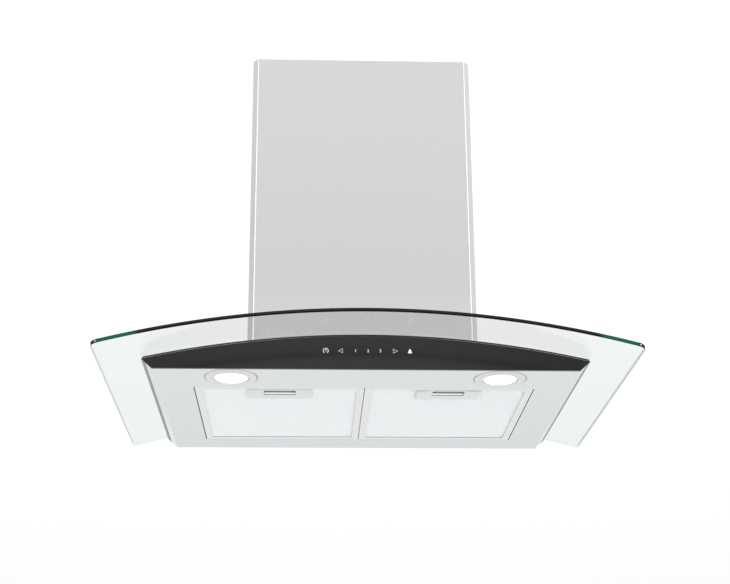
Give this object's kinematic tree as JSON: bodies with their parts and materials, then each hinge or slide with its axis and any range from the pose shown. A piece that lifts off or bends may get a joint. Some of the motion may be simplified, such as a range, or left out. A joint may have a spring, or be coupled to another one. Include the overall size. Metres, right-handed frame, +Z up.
{
  "type": "curved glass range hood",
  "caption": "Wall-mounted chimney cooker hood with an arched glass canopy, touch panel, lamps, swing-down grease filters and a centrifugal blower.",
  "frame": {"origin": "on the wall face, at the middle of the body's width, level with the body's underside", "axes": "+X to the right as seen from the front, +Y into the wall, +Z up"},
  "size_m": [0.7, 0.49, 0.538],
  "materials": {
    "clear_glass": "toughened clear float glass, polished edges with a green tint",
    "stainless": "fine brushed stainless steel",
    "stainless_inner": "mill finish stainless steel",
    "foam": "closed-cell foam tape",
    "seal_rubber": "matt dark rubber",
    "black_glass": "black back-painted glass, glossy",
    "circuit_board": "green circuit board",
    "black_plastic": "fine-grained black plastic",
    "galvanised": "galvanised steel",
    "filter_frame": "satin aluminium",
    "filter_mesh": "expanded aluminium mesh",
    "filter_handle": "satin aluminium",
    "latch_plastic": "light grey plastic",
    "bezel_steel": "satin steel",
    "lamp_lens": "frosted lens",
    "lamp_body": "cast aluminium with fins",
    "screw_steel": "zinc-plated steel",
    "scroll_plastic": "moulded dark plastic",
    "impeller_plastic": "moulded plastic",
    "motor_paint": "painted motor casing",
    "capacitor_plastic": "off-white plastic can",
    "grey_plastic": "grey plastic"
  },
  "bodies": {
    "root": {"glass_canopy": "clear_glass", "canopy_shell": "stainless", "canopy_top_cover": "stainless_inner", "glass_gasket": "foam", "side_seal_left": "seal_rubber", "side_seal_right": "seal_rubber", "control_panel": "black_glass", "touch_board": "circuit_board", "board_holder": "black_plastic", "filter_rail": "galvanised", "lamp_bezel_left": "bezel_steel", "lamp_bezel_right": "bezel_steel", "lamp_lens_left": "lamp_lens", "lamp_lens_right": "lamp_lens", "lamp_body_left": "lamp_body", "lamp_body_right": "lamp_body", "motor_box": "galvanised", "motor_box_screws": "screw_steel", "glass_washers": "seal_rubber", "glass_screws": "screw_steel", "scroll_half_left": "scroll_plastic", "scroll_half_right": "scroll_plastic", "inlet_ring_left": "black_plastic", "inlet_ring_right": "black_plastic", "motor": "motor_paint", "motor_bracket": "galvanised", "motor_bushes": "seal_rubber", "capacitor": "capacitor_plastic", "electronics_box": "grey_plastic", "lamp_driver": "grey_plastic", "cable_gland": "black_plastic", "duct_collar": "black_plastic", "damper_pin": "screw_steel", "chimney_lower": "stainless", "chimney_clips": "galvanised"},
    "chimney_upper": {"chimney_upper": "stainless", "chimney_bracket": "galvanised"},
    "damper_front": {"damper_front": "grey_plastic"},
    "damper_rear": {"damper_rear": "grey_plastic"},
    "impeller": {"impeller": "impeller_plastic", "impeller_ring_left": "impeller_plastic", "impeller_ring_right": "impeller_plastic", "impeller_hub": "galvanised", "motor_shaft": "screw_steel"},
    "filter_left": {"filter_frame_left": "filter_frame", "filter_mesh_left": "filter_mesh", "filter_handle_left": "filter_handle"},
    "filter_right": {"filter_frame_right": "filter_frame", "filter_mesh_right": "filter_mesh", "filter_handle_right": "filter_handle"},
    "latch_left": {"filter_latch_left": "latch_plastic"},
    "latch_right": {"filter_latch_right": "latch_plastic"}
  },
  "joints": [
    {"name": "chimney_extend", "type": "slide", "parent": "root", "child": "chimney_upper", "axis": [0, 0, 1], "range_m": [0, 0.3]},
    {"name": "damper_front_swing", "type": "hinge", "parent": "root", "child": "damper_front", "pos_m": [0, -0.1, 0.306], "axis": [-1, 0, 0], "range_deg": [0, 75]},
    {"name": "damper_rear_swing", "type": "hinge", "parent": "root", "child": "damper_rear", "pos_m": [0, -0.1, 0.306], "axis": [1, 0, 0], "range_deg": [0, 75]},
    {"name": "impeller_spin", "type": "hinge", "parent": "root", "child": "impeller", "pos_m": [0, -0.15, 0.15], "axis": [1, 0, 0], "continuous": true},
    {"name": "filter_left_swing", "type": "hinge", "parent": "root", "child": "filter_left", "pos_m": [-0.1165, -0.052, 0], "axis": [1, 0, 0], "range_deg": [0, 80]},
    {"name": "filter_right_swing", "type": "hinge", "parent": "root", "child": "filter_right", "pos_m": [0.1165, -0.052, 0], "axis": [1, 0, 0], "range_deg": [0, 80]},
    {"name": "latch_left_pull", "type": "slide", "parent": "filter_left", "child": "latch_left", "axis": [0, 1, 0], "range_m": [0, 0.006], "stiffness_N_per_m": 400},
    {"name": "latch_right_pull", "type": "slide", "parent": "filter_right", "child": "latch_right", "axis": [0, 1, 0], "range_m": [0, 0.006], "stiffness_N_per_m": 400}
  ]
}
